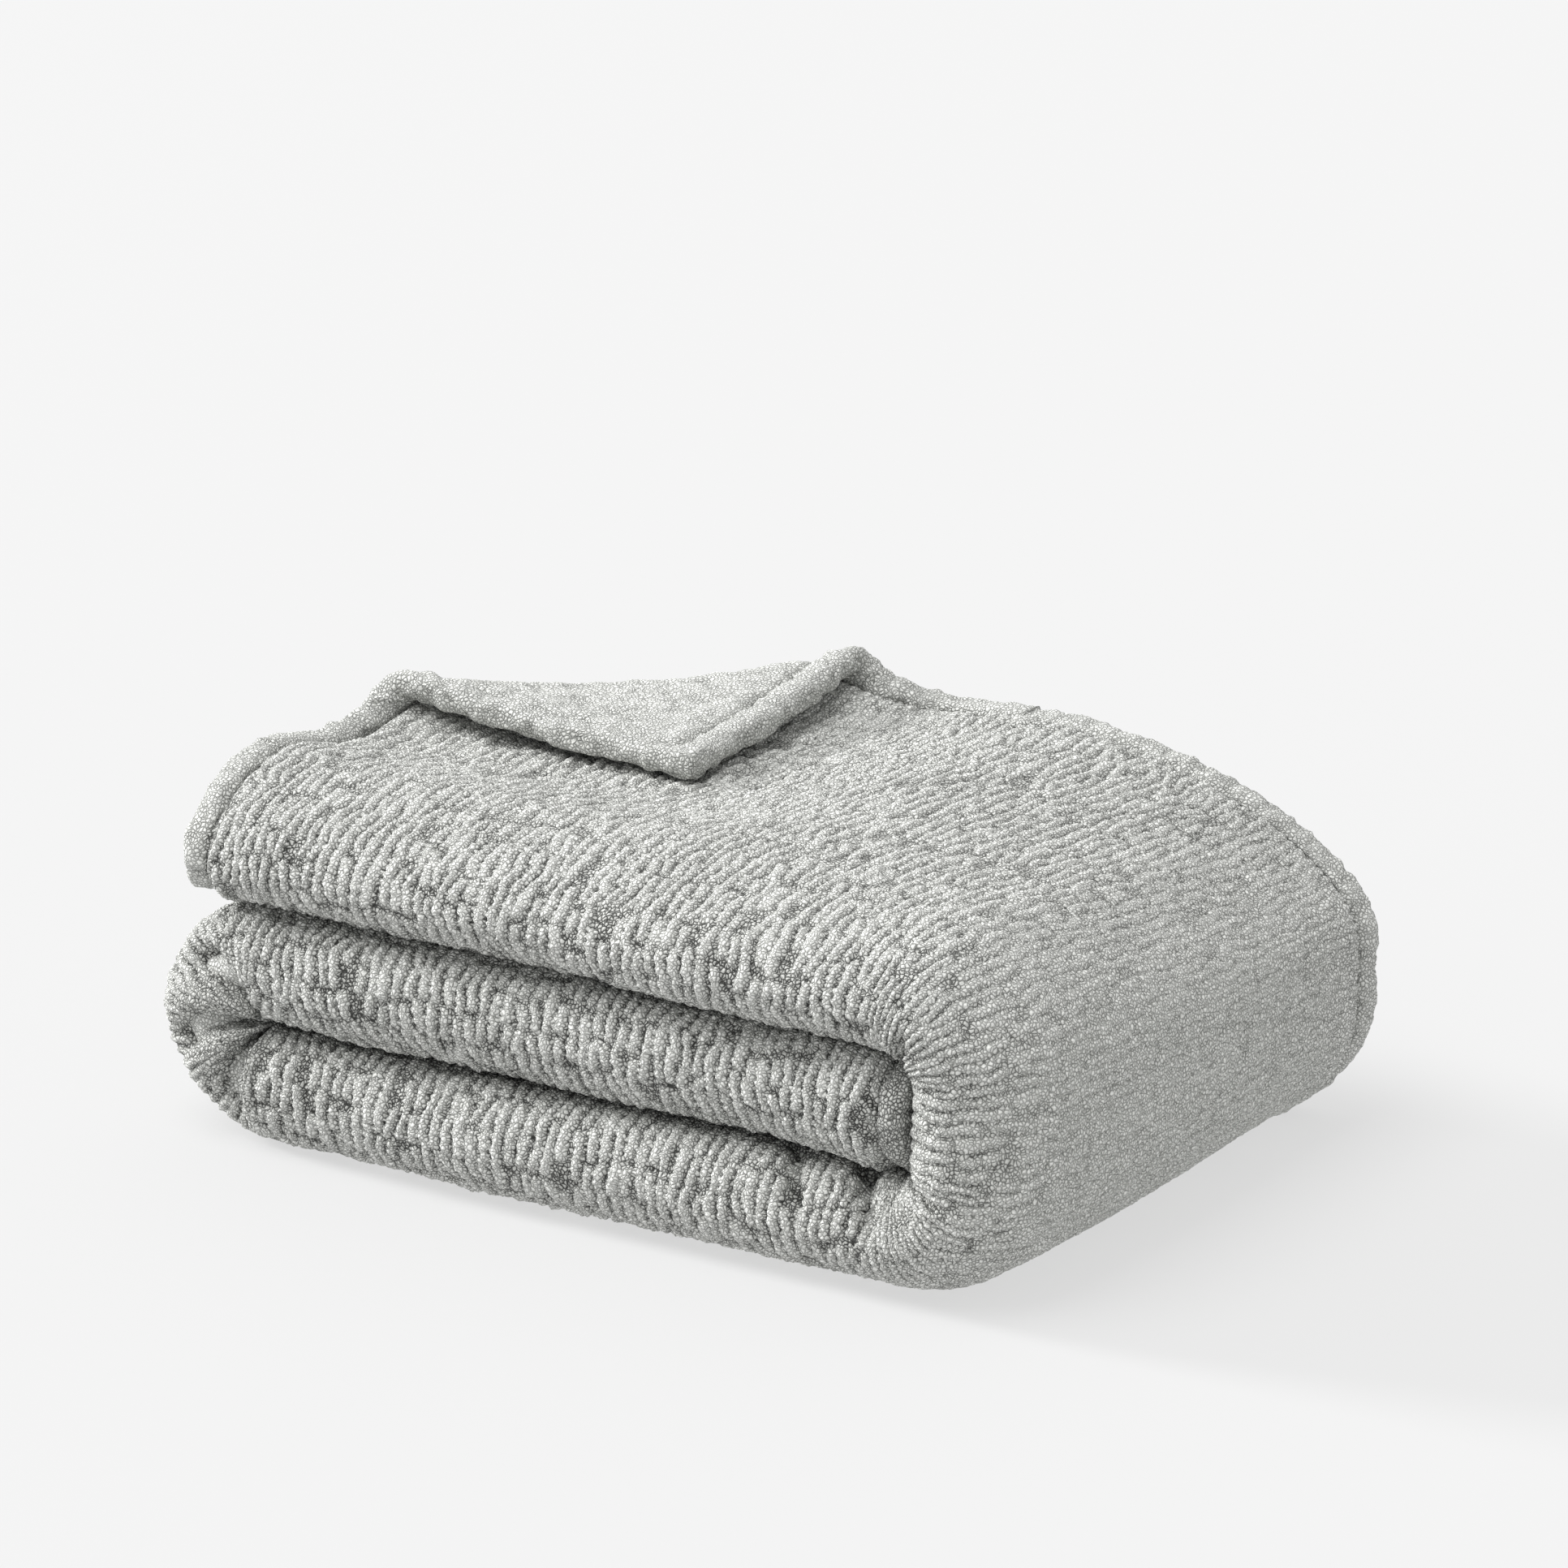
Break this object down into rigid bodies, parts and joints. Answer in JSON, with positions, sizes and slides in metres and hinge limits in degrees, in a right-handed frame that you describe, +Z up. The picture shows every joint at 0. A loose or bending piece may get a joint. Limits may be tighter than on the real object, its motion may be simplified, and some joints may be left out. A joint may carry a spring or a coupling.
{
  "type": "folded throw blanket",
  "caption": "Plush knitted throw folded in four and wound in thirds, with a wide hem and one corner turned back over the top.",
  "frame": {"origin": "middle of the underside, on the surface that the bundle lies on", "axes": "+X along the folded strip from the left-hand turn to the right-hand turn, +Y from the front fold to the hemmed back, +Z up"},
  "size_m": [0.49, 0.35, 0.1937],
  "materials": {
    "knit": "plush looped chenille knit in braided ribs, warm light grey, matt",
    "hem": "the same plush knit, doubled and stitched into a rounded hem",
    "thread": "grey polyester sewing thread sunk in the pile",
    "label": "plain white satin ribbon, blank"
  },
  "bodies": {
    "lower_levels": {"bottom_back_fold": "knit", "bottom_hem_stitching": "thread", "bottom_inner_hem": "hem", "bottom_inner_ply": "knit", "bottom_outer_hem": "hem", "bottom_outer_ply": "knit", "care_label": "label", "left_turn_back_fold": "knit", "left_turn_hem_stitching": "thread", "left_turn_inner_hem": "hem", "left_turn_inner_ply": "knit", "left_turn_outer_hem": "hem", "left_turn_outer_ply": "knit", "middle_back_fold": "knit", "middle_end_hem": "hem", "middle_hem_stitching": "thread", "middle_inner_hem": "hem", "middle_inner_ply": "knit", "middle_outer_hem": "hem", "middle_outer_ply": "knit", "right_turn_lower_back_fold": "knit", "right_turn_lower_hem_stitching": "thread", "right_turn_lower_inner_hem": "hem", "right_turn_lower_inner_ply": "knit", "right_turn_lower_outer_hem": "hem", "right_turn_lower_outer_ply": "knit"},
    "top_level": {"right_turn_upper_back_fold": "knit", "right_turn_upper_hem_stitching": "thread", "right_turn_upper_inner_hem": "hem", "right_turn_upper_inner_ply": "knit", "right_turn_upper_outer_hem": "hem", "right_turn_upper_outer_ply": "knit", "top_back_fold": "knit", "top_end_hem": "hem", "top_hem_stitching": "thread", "top_inner_hem": "hem", "top_inner_ply": "knit", "top_outer_hem": "hem", "top_outer_ply": "knit"},
    "turned_corner": {"corner_end_hem": "hem", "corner_hem_stitching": "thread", "corner_sheet": "knit", "corner_side_hem": "hem"}
  },
  "joints": [
    {"name": "top_opening", "type": "hinge", "parent": "lower_levels", "child": "top_level", "pos_m": [0.2454, 0, 0.0911], "axis": [0, 1, 0], "range_deg": [0, 179]},
    {"name": "corner_turning", "type": "hinge", "parent": "top_level", "child": "turned_corner", "pos_m": [-0.237, -0.01, 0.1842], "axis": [-0.7071, -0.7071, 0], "range_deg": [0, 179]}
  ]
}
